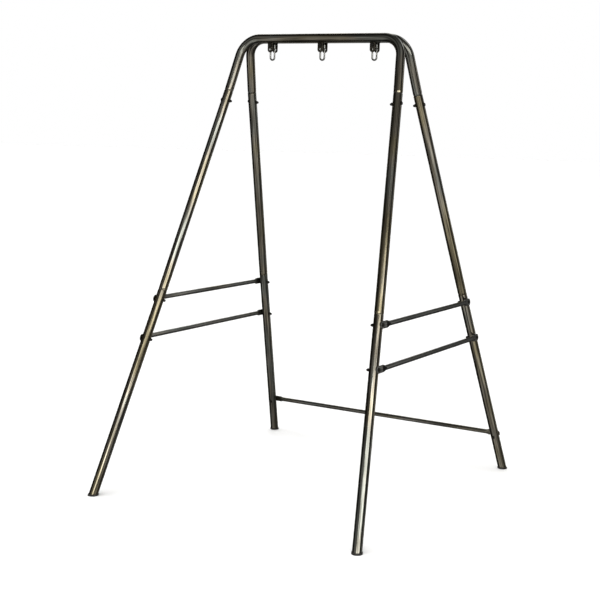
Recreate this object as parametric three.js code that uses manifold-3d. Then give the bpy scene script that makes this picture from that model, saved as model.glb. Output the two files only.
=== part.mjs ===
// Free-standing swing stand in bronze-finished steel tube: two inverted-U frames stand side by side
// and splay into four legs, with flattened-end crossbars, and three snap hooks hang under the top.
// Millimetres, +Z up. Origin on the floor at the middle of the four feet, X along the top tubes,
// -Y towards the front.
import * as THREE from 'three';
import { mergeVertices } from 'three/addons/utils/BufferGeometryUtils.js';
import Module from 'manifold-3d';

const wasm = await Module();
wasm.setup();

// ---- driving dimensions ----
const overallHeight = 1830;
const tubeRadius = 18;
const tubeWall = 1.5;
const gap = 0.3; // left between pieces that touch

// the frame's plan: half sizes of the feet rectangle, and of the corners of the top tubes
const footHalfWidth = 589;
const footHalfDepth = 682;
const topHalfWidth = 357;
const topTubeHalfSpacing = tubeRadius + 0.5;
const cornerBendRadius = 82;

// each leg is three tubes, and it spreads a little more at each socket joint: the joints'
// heights above the floor, and their distances in front of or behind the middle
const upperSeamHeight = 1597;
const upperSeamDepth = 88;
const lowerSeamHeight = 795;
const lowerSeamDepth = 381;

// heights above the floor of the bolts through the legs
const upperJointBoltHeight = 1560;
const upperSideBarHeight = 760;
const lowerSideBarHeight = 606;
const rearBarHeight = 157;

// the reduced end of one leg tube that slides into the next
const spigotLength = 72;
const spigotTaper = 5;

// crossbars
const barRadius = 9.5;
const barWall = 1.2;
const tabHalfWidth = 14;
const tabHalfThickness = barWall + 0.2;
const tabBeyondBolt = 15;
const tabFlatLength = 25;
const tabTransition = 30;

// bolts through the legs
const boltRadius = 4;
const boltHoleRadius = 4.4;
const boltHeadRadius = 7;
const boltHeadHeight = 4;
const capNutRadius = 6.5;
const capNutHeight = 12;

// feet
const footFlangeHeight = 7;
const footFlangeOverhang = 2.4;
const footPlugLength = 30;

// hangers under the top tubes
const hookPositions = [-233, 0, 233];
const earWidth = 23;
const earThickness = 4.5;
const earDrop = 37.5;
const earSpareHoleDrop = 25;
const earSpareHoleRadius = 5;
const hangerBoltDrop = 9;
const hexAcrossFlats = 13;
const hangerHeadHeight = 5.3;
const hangerNutHeight = 6.5;
const hangerBoltTail = 2.5;

// snap hook, measured from the axis of the bolt that it hangs on
const hookWireRadius = 3.5;
const hookHalfWidth = 13;
const hookLength = 72.3;
const hookNose = -12;
const gatePivotHeight = -40;
const gateHalfWidth = 3.2;
const gateSlot = 3.2;
const tongueThickness = 2.6;
const gatePinRadius = 1.4;

// ---- mesh detail ----
const tubeSides = 12;
const barSides = 12;
const wireSides = 8;
const boltSides = 6;
const drillSides = 8;
const bendSteps = 6;
const hookArcSteps = 6;

// ---- derived sizes ----
const beamHeight = overallHeight - tubeRadius;
const widthSlope = Math.atan2(footHalfWidth - topHalfWidth, beamHeight);
const rearSlope = Math.atan2(footHalfDepth - lowerSeamDepth, lowerSeamHeight);
const boreRadius = tubeRadius - tubeWall;
const spigotRadius = boreRadius * Math.cos(Math.PI / tubeSides) - gap; // clears the bore's flats
const bracketPlane = tubeRadius + gap + tabHalfThickness; // from a leg's axis to the middle of a tab
const hangerBoltHeight = beamHeight - tubeRadius - hangerBoltDrop;
const hookBendRadius = hookHalfWidth - hookWireRadius;
const hookTopArc = boltRadius + gap + hookWireRadius - hookBendRadius;
const hookBottomArc = boltRadius + gap + 2 * hookWireRadius - hookLength + hookHalfWidth;
const gateShoulder = gatePivotHeight - gateHalfWidth - 2 * gap;
const gateTip = hookNose - 2 * gap;

// ---- materials ----
const finish = (color, roughness, metalness) =>
  new THREE.MeshStandardMaterial({ color, roughness, metalness });
const bronzeTube = () => finish('#5c5546', 0.38, 0.85);
const bronzeBar = () => finish('#55524a', 0.4, 0.85);
const darkFastener = () => finish('#17160f', 0.45, 0.8);
const zinc = () => finish('#b9bab0', 0.3, 1.0);
const footPlastic = () => finish('#1b1a18', 0.6, 0.0);

// ---- geometry helpers ----
const X = new THREE.Vector3(1, 0, 0);
const Y = new THREE.Vector3(0, 1, 0);
const Z = new THREE.Vector3(0, 0, 1);

// One ring of points round a centre. power 2 is an ellipse, and a higher power is squarer.
function sectionRing(centre, axisA, axisB, halfA, halfB, sides, power = 2) {
  const bulge = (value) => Math.sign(value) * Math.abs(value) ** (2 / power);
  const ring = [];
  for (let i = 0; i < sides; i++) {
    const angle = (2 * Math.PI * (i + 0.5)) / sides;
    ring.push(
      centre
        .clone()
        .addScaledVector(axisA, halfA * bulge(Math.cos(angle)))
        .addScaledVector(axisB, halfB * bulge(Math.sin(angle)))
    );
  }
  return ring;
}

function volumeOf(positions, indices) {
  const [a, b, c] = [new THREE.Vector3(), new THREE.Vector3(), new THREE.Vector3()];
  let volume = 0;
  for (let i = 0; i < indices.length; i += 3) {
    a.fromArray(positions, 3 * indices[i]);
    b.fromArray(positions, 3 * indices[i + 1]);
    c.fromArray(positions, 3 * indices[i + 2]);
    volume += a.dot(b.cross(c)) / 6;
  }
  return volume;
}

// A closed body through a list of rings: its ends are filled, or its last ring joins its first.
function loft(rings, joinsItself = false) {
  const sides = rings[0].length;
  const positions = rings.flat().flatMap((point) => point.toArray());
  const indices = [];
  const spans = joinsItself ? rings.length : rings.length - 1;
  for (let ring = 0; ring < spans; ring++) {
    const here = ring * sides;
    const next = ((ring + 1) % rings.length) * sides;
    for (let i = 0; i < sides; i++) {
      const j = (i + 1) % sides;
      indices.push(here + i, here + j, next + j, here + i, next + j, next + i);
    }
  }
  if (!joinsItself) {
    const last = (rings.length - 1) * sides;
    for (let i = 1; i < sides - 1; i++) {
      indices.push(0, i + 1, i, last, last + i, last + i + 1);
    }
  }
  if (volumeOf(positions, indices) < 0) {
    indices.reverse();
  }
  const geometry = new THREE.BufferGeometry();
  geometry.setAttribute('position', new THREE.Float32BufferAttribute(positions, 3));
  geometry.setIndex(indices);
  return geometry;
}

// The outer and inner rings of the main tube at one point of its axis.
const tubeRings = (centre, axisA, axisB, radius) => ({
  outer: sectionRing(centre, axisA, axisB, radius, radius, tubeSides),
  inner: sectionRing(centre, axisA, axisB, radius - tubeWall, radius - tubeWall, tubeSides),
});

// A tube open at both ends, from stations that each give an outer and an inner ring.
function hollowTube(stations) {
  const outer = stations.map((station) => station.outer);
  const inner = stations.map((station) => station.inner).reverse();
  return loft([...outer, ...inner], true);
}

function toSolid(geometry) {
  const bare = geometry.clone();
  bare.deleteAttribute('normal');
  bare.deleteAttribute('uv');
  const merged = mergeVertices(bare, 1e-4);
  const vertProperties = new Float32Array(merged.attributes.position.array);
  const triVerts = new Uint32Array(merged.index.array);
  return new wasm.Manifold(new wasm.Mesh({ numProp: 3, vertProperties, triVerts }));
}

function toGeometry(solid) {
  const mesh = solid.getMesh();
  const geometry = new THREE.BufferGeometry();
  geometry.setAttribute('position', new THREE.BufferAttribute(mesh.vertProperties, 3));
  geometry.setIndex(new THREE.BufferAttribute(mesh.triVerts, 1));
  return geometry;
}

const cut = (geometry, cutters) =>
  toGeometry(cutters.reduce((solid, cutter) => solid.subtract(toSolid(cutter)), toSolid(geometry)));

const join = (geometry, added) => toGeometry(toSolid(geometry).add(toSolid(added)));

// A drill along a direction, long enough to pass through both walls of a tube.
function drill(radius, centre, direction, length = 80) {
  const cylinder = new THREE.CylinderGeometry(radius, radius, length, drillSides);
  cylinder.applyQuaternion(new THREE.Quaternion().setFromUnitVectors(Y, direction));
  return cylinder.translate(centre.x, centre.y, centre.z);
}

function extrudeFlat(shape, thickness, curveSegments = 8) {
  const plate = new THREE.ExtrudeGeometry(shape, {
    depth: thickness,
    bevelEnabled: false,
    curveSegments,
  });
  plate.translate(0, 0, -thickness / 2);
  return plate.rotateX(Math.PI / 2); // the outline lies in XZ, the thickness along Y
}

function circleHole(x, z, radius) {
  const hole = new THREE.Path();
  hole.absarc(x, z, radius, 0, 2 * Math.PI, true);
  return hole;
}

function hexagon(acrossFlats) {
  const shape = new THREE.Shape();
  for (let i = 0; i < 6; i++) {
    const angle = (Math.PI / 3) * i;
    const reach = acrossFlats / Math.sqrt(3);
    shape[i ? 'lineTo' : 'moveTo'](reach * Math.cos(angle), reach * Math.sin(angle));
  }
  shape.closePath();
  return shape;
}

function mesh(name, geometry, material) {
  const piece = new THREE.Mesh(geometry, material);
  piece.name = name;
  return piece;
}

// A group at a point, whose own X and Z axes point along the given directions.
function placed(origin, axisX, axisZ) {
  const group = new THREE.Group();
  const axisY = axisZ.clone().cross(axisX);
  group.quaternion.setFromRotationMatrix(new THREE.Matrix4().makeBasis(axisX, axisY, axisZ));
  group.position.copy(origin);
  group.updateMatrixWorld(true);
  return group;
}

// ---- the frame's directions ----
// side is -1 at the left and 1 at the right; end is -1 at the front and 1 at the rear
const outboard = (side) =>
  new THREE.Vector3(side * Math.cos(widthSlope), 0, Math.sin(widthSlope));
const rearward = new THREE.Vector3(0, Math.cos(rearSlope), Math.sin(rearSlope));

// The axis of a leg from the floor up: its foot, its two socket joints and its virtual corner.
const legNodes = [
  [0, footHalfDepth],
  [lowerSeamHeight, lowerSeamDepth],
  [upperSeamHeight, upperSeamDepth],
  [beamHeight, topTubeHalfSpacing],
];

function legNode(side, end, index) {
  const [height, depth] = legNodes[index];
  return new THREE.Vector3(
    side * (footHalfWidth - height * Math.tan(widthSlope)),
    end * depth,
    height
  );
}

const legUp = (side, end, index) =>
  legNode(side, end, index + 1)
    .sub(legNode(side, end, index))
    .normalize();

// The frame of one tube of a leg: 0 is the lower tube, 1 the upper one.
const legFrame = (side, end, index) =>
  placed(legNode(side, end, index), outboard(side), legUp(side, end, index));

// The distance up a tube's own axis of a point at a height above the floor.
function alongTube(height, index) {
  const [bottom, top] = [legNode(1, 1, index), legNode(1, 1, index + 1)];
  return ((height - bottom.z) * bottom.distanceTo(top)) / (top.z - bottom.z);
}

const legPoint = (side, end, index, height) =>
  legNode(side, end, index).addScaledVector(legUp(side, end, index), alongTube(height, index));

// ---- top tubes: one inverted U each, with reduced ends ----
// The axis of the right-hand half, from the middle of the beam to the end of the spigot.
function topTubeHalf(end) {
  const corner = legNode(1, end, 3);
  const down = legUp(1, end, 2).negate();
  const inwards = X.clone().negate();
  const turn = Math.acos(inwards.dot(down)); // the angle between the two arms
  const tangentLength = cornerBendRadius / Math.tan(turn / 2);
  const bisector = inwards.clone().add(down).normalize();
  const centre = corner.clone().addScaledVector(bisector, cornerBendRadius / Math.sin(turn / 2));
  const start = corner.clone().addScaledVector(inwards, tangentLength).sub(centre);
  const bendNormal = X.clone().cross(down).normalize();
  const points = [];
  for (let step = 0; step <= bendSteps; step++) {
    const angle = ((Math.PI - turn) * step) / bendSteps;
    points.push({
      point: start.clone().applyAxisAngle(bendNormal, angle).add(centre),
      tangent: X.clone().applyAxisAngle(bendNormal, angle),
      radius: tubeRadius,
    });
  }
  // the spigot lies along the leg tube below, so it turns slightly at the joint
  const seam = legNode(1, end, 2);
  const socket = legUp(1, end, 1).negate();
  const straight = [
    [down, -gap - spigotTaper, tubeRadius],
    [down, -gap, spigotRadius],
    [socket, spigotLength, spigotRadius],
  ];
  for (const [direction, distance, radius] of straight) {
    const point = seam.clone().addScaledVector(direction, distance);
    points.push({ point, tangent: direction.clone(), radius });
  }
  return points;
}

function topTube(end) {
  const right = topTubeHalf(end);
  const mirror = new THREE.Vector3(-1, 1, 1);
  const left = right.map(({ point, tangent, radius }) => ({
    point: point.clone().multiply(mirror),
    tangent: tangent.clone().multiply(mirror).negate(),
    radius,
  }));
  const normal = X.clone().cross(legUp(1, end, 2)).normalize();
  const stations = [...left.reverse(), ...right].map(({ point, tangent, radius }) => {
    const across = normal.clone().cross(tangent).normalize();
    const deep = tangent.clone().cross(across).normalize();
    return tubeRings(point, deep, across, radius);
  });
  const drills = [-1, 1].map((side) =>
    drill(boltHoleRadius, legPoint(side, end, 1, upperJointBoltHeight), outboard(side))
  );
  return cut(hollowTube(stations), drills);
}

// ---- leg tubes, in their own frames: Z up the tube, X towards the outboard side ----
const acrossTube = (height, index) =>
  drill(boltHoleRadius, new THREE.Vector3(0, 0, alongTube(height, index)), X);

function upperLegTube(frame, lowerFrame) {
  // the spigot lies along the lower tube, so it is turned into this tube's frame
  const bend = frame.quaternion.clone().invert().multiply(lowerFrame.quaternion);
  const [bentY, bentZ] = [Y, Z].map((axis) => axis.clone().applyQuaternion(bend));
  const level = (height, radius) =>
    tubeRings(new THREE.Vector3(0, 0, height), X, Y, radius);
  const tube = hollowTube([
    tubeRings(bentZ.clone().multiplyScalar(-spigotLength), X, bentY, spigotRadius),
    level(gap, spigotRadius),
    level(gap + spigotTaper, tubeRadius),
    level(alongTube(upperSeamHeight, 1), tubeRadius),
  ]);
  const spigotBolt = acrossTube(upperSideBarHeight, 0).translate(
    0,
    0,
    -alongTube(lowerSeamHeight, 0)
  );
  spigotBolt.applyQuaternion(bend);
  return cut(tube, [acrossTube(upperJointBoltHeight, 1), spigotBolt]);
}

// Moves a ring along the leg until each of its points is at one height above the floor.
function levelRing(ring, frame, height) {
  const up = Z.clone().applyQuaternion(frame.quaternion);
  for (const point of ring) {
    const inRoom = point.clone().applyQuaternion(frame.quaternion);
    point.z += (height - inRoom.z) / up.z;
  }
  return ring;
}

function lowerLegTube(frame, side, end) {
  const origin = new THREE.Vector3();
  const seam = new THREE.Vector3(0, 0, alongTube(lowerSeamHeight, 0));
  const cutEnd = (radius) =>
    levelRing(sectionRing(origin, X, Y, radius, radius, tubeSides), frame, footFlangeHeight + gap);
  const tube = hollowTube([
    { outer: cutEnd(tubeRadius), inner: cutEnd(boreRadius) },
    tubeRings(seam, X, Y, tubeRadius),
  ]);
  const drills = [acrossTube(upperSideBarHeight, 0), acrossTube(lowerSideBarHeight, 0)];
  if (end === 1) {
    const rearBolt = drill(boltHoleRadius, legPoint(side, end, 0, rearBarHeight), rearward);
    drills.push(rearBolt.applyMatrix4(frame.matrixWorld.clone().invert()));
  }
  return cut(tube, drills);
}

// A plastic plug: a flange that stands flat on the floor, and a stem up inside the tube.
function footCap(frame) {
  const origin = new THREE.Vector3();
  const level = (radius, height) =>
    levelRing(sectionRing(origin, X, Y, radius, radius, tubeSides), frame, height);
  const flange = tubeRadius + footFlangeOverhang;
  const stem = boreRadius - 2 * gap;
  const stemTop = sectionRing(new THREE.Vector3(0, 0, footPlugLength), X, Y, stem, stem, tubeSides);
  return loft([
    level(flange - 0.8, 0),
    level(flange, 1.5),
    level(flange, footFlangeHeight - 1),
    level(flange - 1, footFlangeHeight),
    level(stem, footFlangeHeight),
    stemTop,
  ]);
}

// ---- crossbars, along their own Y with the flat tabs facing X ----
function crossbar(boltSpan) {
  const round = (y) => [y, barRadius, barRadius, 2];
  const flat = (y) => [y, tabHalfThickness, tabHalfWidth, 5];
  const halfway = (y) => [y, 0.55 * barRadius, 0.5 * (barRadius + tabHalfWidth), 2.6];
  const bolt = boltSpan / 2;
  const half = [
    flat(bolt + tabBeyondBolt),
    flat(bolt - tabFlatLength),
    halfway(bolt - tabFlatLength - tabTransition / 2),
    round(bolt - tabFlatLength - tabTransition),
  ];
  const levels = [...half, ...half.map(([y, ...rest]) => [-y, ...rest]).reverse()];
  const stations = levels.map(([y, thick, wide, power]) => {
    const centre = new THREE.Vector3(0, y, 0);
    return {
      outer: sectionRing(centre, X, Z, thick, wide, barSides, power),
      inner: sectionRing(centre, X, Z, thick - barWall, wide - barWall, barSides, power),
    };
  });
  const holes = [-bolt, bolt].map((y) => drill(boltHoleRadius, new THREE.Vector3(0, y, 0), X));
  return cut(hollowTube(stations), holes);
}

// ---- bolt with its cap nut, along X: the head starts at headFace and the nut at -nutFace ----
function boltWithCapNut(headFace, nutFace) {
  const nutEnd = -nutFace - capNutHeight;
  const profile = [
    [0, headFace + boltHeadHeight],
    [0.6 * boltHeadRadius, headFace + 0.8 * boltHeadHeight],
    [boltHeadRadius, headFace + 0.25 * boltHeadHeight],
    [boltHeadRadius, headFace],
    [boltRadius, headFace],
    [boltRadius, -nutFace],
    [capNutRadius, -nutFace],
    [capNutRadius, -nutFace - 0.55 * capNutHeight],
    [0.75 * capNutRadius, -nutFace - 0.85 * capNutHeight],
    [0, nutEnd],
  ].map(([radius, position]) => new THREE.Vector2(radius, -position));
  return new THREE.LatheGeometry(profile, boltSides).rotateZ(Math.PI / 2);
}

// ---- hangers ----
function hangerEar() {
  const roundCentre = earDrop - earWidth / 2;
  const outline = new THREE.Shape();
  outline.moveTo(-earWidth / 2, -gap);
  outline.lineTo(-earWidth / 2, -roundCentre);
  outline.absarc(0, -roundCentre, earWidth / 2, Math.PI, 2 * Math.PI, false);
  outline.lineTo(earWidth / 2, -gap);
  outline.closePath();
  outline.holes.push(circleHole(0, -hangerBoltDrop, boltRadius + 2 * gap));
  outline.holes.push(circleHole(0, -earSpareHoleDrop, earSpareHoleRadius));
  return extrudeFlat(outline, earThickness, 6);
}

function hangerBolt() {
  const face = topTubeHalfSpacing + earThickness / 2 + gap;
  const head = extrudeFlat(hexagon(hexAcrossFlats), hangerHeadHeight);
  head.translate(0, -face - hangerHeadHeight / 2, 0);
  const tail = face + hangerNutHeight + hangerBoltTail;
  const shank = new THREE.CylinderGeometry(boltRadius, boltRadius, tail + face + 1, 12);
  shank.translate(0, (tail - face - 1) / 2, 0);
  return join(head, shank);
}

function hangerNut() {
  const outline = hexagon(hexAcrossFlats);
  outline.holes.push(circleHole(0, 0, boltRadius + 1.5 * gap));
  return extrudeFlat(outline, hangerNutHeight, 6);
}

// ---- snap hook: a bent wire with a sprung gate on its right side ----
function hookBody() {
  const path = [{ x: hookBendRadius, z: hookNose, angle: 0 }];
  for (let step = 0; step <= hookArcSteps; step++) {
    const angle = (Math.PI * step) / hookArcSteps;
    const x = hookBendRadius * Math.cos(angle);
    path.push({ x, z: hookTopArc + hookBendRadius * Math.sin(angle), angle });
  }
  for (let step = 0; step <= hookArcSteps; step++) {
    const angle = Math.PI + (Math.PI * step) / hookArcSteps;
    const x = hookBendRadius * Math.cos(angle);
    path.push({ x, z: hookBottomArc + hookBendRadius * Math.sin(angle), angle });
  }
  path.push({ x: hookBendRadius, z: gateShoulder, angle: 2 * Math.PI });
  const rings = path.map(({ x, z, angle }) => {
    const across = new THREE.Vector3(Math.cos(angle), 0, Math.sin(angle));
    const centre = new THREE.Vector3(x, 0, z);
    return sectionRing(centre, across, Y, hookWireRadius, hookWireRadius, wireSides);
  });
  const tongueRadius = gateHalfWidth - 0.4;
  const tongue = new THREE.Shape();
  tongue.moveTo(hookBendRadius - tongueRadius, gateShoulder - 1);
  tongue.lineTo(hookBendRadius + tongueRadius, gateShoulder - 1);
  tongue.lineTo(hookBendRadius + tongueRadius, gatePivotHeight);
  tongue.absarc(hookBendRadius, gatePivotHeight, tongueRadius, 0, Math.PI, false);
  tongue.closePath();
  tongue.holes.push(circleHole(hookBendRadius, gatePivotHeight, gatePinRadius + gap));
  return join(loft(rings), extrudeFlat(tongue, tongueThickness, 6));
}

// The gate in its own frame, with the pivot at the origin.
function hookGate() {
  const outline = new THREE.Shape();
  outline.moveTo(gateHalfWidth, 0);
  outline.lineTo(gateHalfWidth, gateTip - gatePivotHeight);
  outline.lineTo(-gateHalfWidth, gateTip - gatePivotHeight);
  outline.lineTo(-gateHalfWidth, 0);
  outline.absarc(0, 0, gateHalfWidth, Math.PI, 2 * Math.PI, false);
  outline.closePath();
  const bar = extrudeFlat(outline, 2 * gateHalfWidth, 6);
  const slot = new THREE.BoxGeometry(4 * gateHalfWidth, gateSlot, 2 * gateHalfWidth + 2);
  slot.translate(0, 0, 0.2);
  return cut(bar, [slot, drill(gatePinRadius + gap, new THREE.Vector3(), Y, 20)]);
}

// ---- assembly ----
const stand = new THREE.Group();

// how far from a leg's axis a bolt's head or nut sits, on the bare tube or on a bar's tab
const onTube = tubeRadius + gap;
const onTab = bracketPlane + tabHalfThickness + gap;

const sideName = (side) => (side < 0 ? 'left' : 'right');
const endName = (end) => (end < 0 ? 'front' : 'rear');

for (const end of [-1, 1]) {
  stand.add(mesh(`${endName(end)}_top_tube`, topTube(end), bronzeTube()));
}

for (const side of [-1, 1]) {
  for (const end of [-1, 1]) {
    const name = `${endName(end)}_${sideName(side)}`;
    const [lower, upper] = [0, 1].map((index) => legFrame(side, end, index));
    stand.add(lower, upper);
    upper.add(mesh(`${name}_upper_leg`, upperLegTube(upper, lower), bronzeTube()));
    lower.add(mesh(`${name}_lower_leg`, lowerLegTube(lower, side, end), bronzeTube()));
    lower.add(mesh(`${name}_foot_cap`, footCap(lower), footPlastic()));
    const bolts = [
      ['leg_joint', upper, alongTube(upperJointBoltHeight, 1), onTube],
      ['upper_bar', lower, alongTube(upperSideBarHeight, 0), onTab],
      ['lower_bar', lower, alongTube(lowerSideBarHeight, 0), onTab],
    ];
    for (const [place, frame, height, headFace] of bolts) {
      const bolt = boltWithCapNut(headFace, onTube);
      const piece = mesh(`${name}_${place}_bolt`, bolt, darkFastener());
      piece.position.z = height;
      frame.add(piece);
    }
  }
  for (const [place, height] of [['upper', upperSideBarHeight], ['lower', lowerSideBarHeight]]) {
    const middle = legPoint(side, 1, 0, height);
    const span = 2 * middle.y;
    middle.setY(0).addScaledVector(outboard(side), bracketPlane);
    const upSlope = outboard(side).cross(new THREE.Vector3(0, -side, 0)).negate();
    const frame = placed(middle, outboard(side), upSlope);
    frame.add(mesh(`${sideName(side)}_${place}_side_bar`, crossbar(span), bronzeBar()));
    stand.add(frame);
  }
}

// The low bar lies against the backs of the rear legs.
{
  const middle = legPoint(1, 1, 0, rearBarHeight);
  const span = 2 * middle.x;
  middle.setX(0);
  const upSlope = rearward.clone().cross(X.clone().negate());
  const frame = placed(middle, rearward, upSlope);
  const bar = mesh('rear_low_bar', crossbar(span), bronzeBar());
  bar.position.x = bracketPlane;
  frame.add(bar);
  for (const side of [-1, 1]) {
    const bolt = boltWithCapNut(onTab, onTube);
    const piece = mesh(`rear_${sideName(side)}_low_bar_bolt`, bolt, darkFastener());
    piece.position.y = (-side * span) / 2;
    frame.add(piece);
  }
  stand.add(frame);
}

hookPositions.forEach((x, index) => {
  const place = ['left', 'middle', 'right'][index];
  const hanger = new THREE.Group();
  hanger.position.set(x, 0, hangerBoltHeight);
  stand.add(hanger);
  for (const end of [-1, 1]) {
    const ear = mesh(`${place}_${endName(end)}_ear`, hangerEar(), bronzeBar());
    ear.position.set(0, end * topTubeHalfSpacing, hangerBoltDrop);
    hanger.add(ear);
  }
  hanger.add(mesh(`${place}_hanger_bolt`, hangerBolt(), darkFastener()));
  const nut = mesh(`${place}_hanger_nut`, hangerNut(), darkFastener());
  nut.position.y = topTubeHalfSpacing + earThickness / 2 + gap + hangerNutHeight / 2;
  hanger.add(nut);
  hanger.add(mesh(`${place}_snap_hook`, hookBody(), zinc()));
  const pivot = new THREE.Group();
  pivot.position.set(hookBendRadius, 0, gatePivotHeight);
  hanger.add(pivot);
  pivot.add(mesh(`${place}_hook_gate`, hookGate(), zinc()));
  const pin = new THREE.CylinderGeometry(gatePinRadius, gatePinRadius, 2 * gateHalfWidth, 8);
  pivot.add(mesh(`${place}_gate_pin`, pin, zinc()));
});

export default stand;
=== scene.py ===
# Looks for the bronze swing stand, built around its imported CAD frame. Metres, in the CAD's frame:
# +Z up, X along the top tubes, -Y towards the front. side is -1 at the left and 1 at the right,
# and end is -1 at the front and 1 at the rear.
import math

import bmesh
import bpy
import numpy as np
from mathutils import Matrix, Vector


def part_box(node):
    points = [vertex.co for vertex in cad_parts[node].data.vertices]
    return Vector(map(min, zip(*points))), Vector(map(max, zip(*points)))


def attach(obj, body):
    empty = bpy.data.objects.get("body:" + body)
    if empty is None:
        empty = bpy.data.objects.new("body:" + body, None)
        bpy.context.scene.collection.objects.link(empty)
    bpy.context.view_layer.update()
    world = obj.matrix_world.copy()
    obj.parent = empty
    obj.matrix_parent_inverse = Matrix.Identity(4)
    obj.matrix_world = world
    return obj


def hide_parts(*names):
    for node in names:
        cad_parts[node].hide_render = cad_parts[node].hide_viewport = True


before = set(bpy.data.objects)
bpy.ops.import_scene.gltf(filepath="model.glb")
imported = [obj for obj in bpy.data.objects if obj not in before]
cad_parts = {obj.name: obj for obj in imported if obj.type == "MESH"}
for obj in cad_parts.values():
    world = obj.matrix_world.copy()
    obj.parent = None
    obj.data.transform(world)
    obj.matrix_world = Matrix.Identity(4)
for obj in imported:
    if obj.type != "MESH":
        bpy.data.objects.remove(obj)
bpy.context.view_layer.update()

# ---- the CAD's driving dimensions ----
OVERALL_HEIGHT = 1.830
TUBE_RADIUS = 0.018
TUBE_WALL = 0.0015
FOOT_HALF_WIDTH = 0.589
TOP_HALF_WIDTH = 0.357
CORNER_BEND_RADIUS = 0.082
TOP_TUBE_HALF_SPACING = 0.0185
BEAM_HEIGHT = OVERALL_HEIGHT - TUBE_RADIUS
# height and distance from the middle of a leg's foot, its two socket joints and its top corner
LEG_NODES = ((0.0, 0.682), (0.795, 0.381), (1.597, 0.088), (BEAM_HEIGHT, TOP_TUBE_HALF_SPACING))
LOWER, UPPER, TOP = 0, 1, 2  # the three tubes of a leg

UPPER_JOINT_BOLT_HEIGHT = 1.560
UPPER_SIDE_BAR_HEIGHT = 0.760
LOWER_SIDE_BAR_HEIGHT = 0.606
REAR_BAR_HEIGHT = 0.157

SPIGOT_LENGTH = 0.072
SPIGOT_RADIUS = 0.0158
SHOULDER_LENGTH = 0.008
BORE_RADIUS = TUBE_RADIUS - TUBE_WALL

BAR_RADIUS = 0.0095
BAR_WALL = 0.0012
TAB_HALF_WIDTH = 0.014
TAB_HALF_THICKNESS = 0.0014
TAB_BEYOND_BOLT = 0.015
TAB_FLAT_LENGTH = 0.025
TAB_TRANSITION = 0.030
TAB_CORNER_RADIUS = 0.011
BRACKET_PLANE = 0.0197  # from a leg's axis to the middle of a bar's tab

BOLT_RADIUS = 0.004
BOLT_HOLE_RADIUS = 0.0044
BOLT_HEAD_RADIUS = 0.007
BOLT_HEAD_HEIGHT = 0.004
CAP_NUT_REACH = 0.0065
CAP_NUT_HEIGHT = 0.012
GAP = 0.0003

FOOT_FLANGE_HEIGHT = 0.007
FOOT_FLANGE_OVERHANG = 0.0024
FOOT_PLUG_LENGTH = 0.030

EAR_WIDTH = 0.023
EAR_THICKNESS = 0.0045
EAR_DROP = 0.0375
EAR_SPARE_HOLE_DROP = 0.025
EAR_SPARE_HOLE_RADIUS = 0.005
WELD_RADIUS = 0.00125
WELD_RIPPLES, WELD_RIPPLE_SHARE = 16, 0.13  # how many, and how far they swell the bead
HANGER_BOLT_DROP = 0.009
HANGER_BOLT_HEIGHT = BEAM_HEIGHT - TUBE_RADIUS - HANGER_BOLT_DROP
HEX_ACROSS_FLATS = 0.013
HANGER_HEAD_HEIGHT = 0.0053
HANGER_NUT_HEIGHT = 0.0065
HANGER_BOLT_TAIL = 0.0025

# snap hook, measured from the axis of the bolt that it hangs on
HOOK_WIRE_RADIUS = 0.0035
HOOK_BEND_RADIUS = 0.0095
HOOK_TOP_ARC = -0.0017
HOOK_BOTTOM_ARC = -0.048
HOOK_NOSE = -0.012
GATE_PIVOT = -0.040
GATE_SHOULDER = -0.0438
GATE_TIP = -0.0126
GATE_RADIUS = 0.0032
GATE_SLOT = 0.0032
TONGUE_THICKNESS = 0.0026
GATE_PIN_RADIUS = 0.0014

# ---- mesh detail ----
TUBE_SIDES = 48
BAR_SIDES = 40
WIRE_SIDES = 24
ROUND_SIDES = 36
BEND_STEPS = 28
HOOK_ARC_STEPS = 24
TAB_TRANSITION_STEPS = 14
TAB_CORNER_STEPS = 8
EAR_ARC_STEPS = 28
EAR_HOLE_SIDES = 32
WELD_STEPS = 96
WELD_SIDES = 12
SHARP_ANGLE = math.radians(34)
THROUGH_A_TUBE, THROUGH_SMALL_PARTS = 0.08, 0.02  # lengths of the drills that cut the holes

X, Y, Z = Vector((1, 0, 0)), Vector((0, 1, 0)), Vector((0, 0, 1))
WIDTH_SLOPE = (FOOT_HALF_WIDTH - TOP_HALF_WIDTH) / BEAM_HEIGHT
REAR_SLOPE = math.atan2(LEG_NODES[0][1] - LEG_NODES[1][1], LEG_NODES[1][0])


# ---- camera: at the photo's viewing angle ----
CAMERA_PLACE = (2.5250, -4.4391, 1.4765)
CAMERA_YAW = math.radians(30.30)
CAMERA_PITCH_DOWN = math.radians(7.98)
CAMERA_ROLL = math.radians(1.716)
CAMERA_LENS = 75.69  # on a 36 mm sensor


def add_camera():
    camera = bpy.data.objects.new("camera", bpy.data.cameras.new("camera"))
    bpy.context.scene.collection.objects.link(camera)
    level = math.cos(CAMERA_PITCH_DOWN)
    ahead = Vector((
        -math.sin(CAMERA_YAW) * level,
        math.cos(CAMERA_YAW) * level,
        -math.sin(CAMERA_PITCH_DOWN),
    ))
    right = Vector((math.cos(CAMERA_YAW), math.sin(CAMERA_YAW), 0))
    up = right.cross(ahead)
    axis_x = right * math.cos(CAMERA_ROLL) + up * math.sin(CAMERA_ROLL)
    axis_y = up * math.cos(CAMERA_ROLL) - right * math.sin(CAMERA_ROLL)
    turn = Matrix((axis_x, axis_y, -ahead)).transposed()
    camera.matrix_world = Matrix.Translation(CAMERA_PLACE) @ turn.to_4x4()
    camera.data.sensor_width = 36
    camera.data.lens = CAMERA_LENS
    bpy.context.scene.camera = camera


add_camera()


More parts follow.
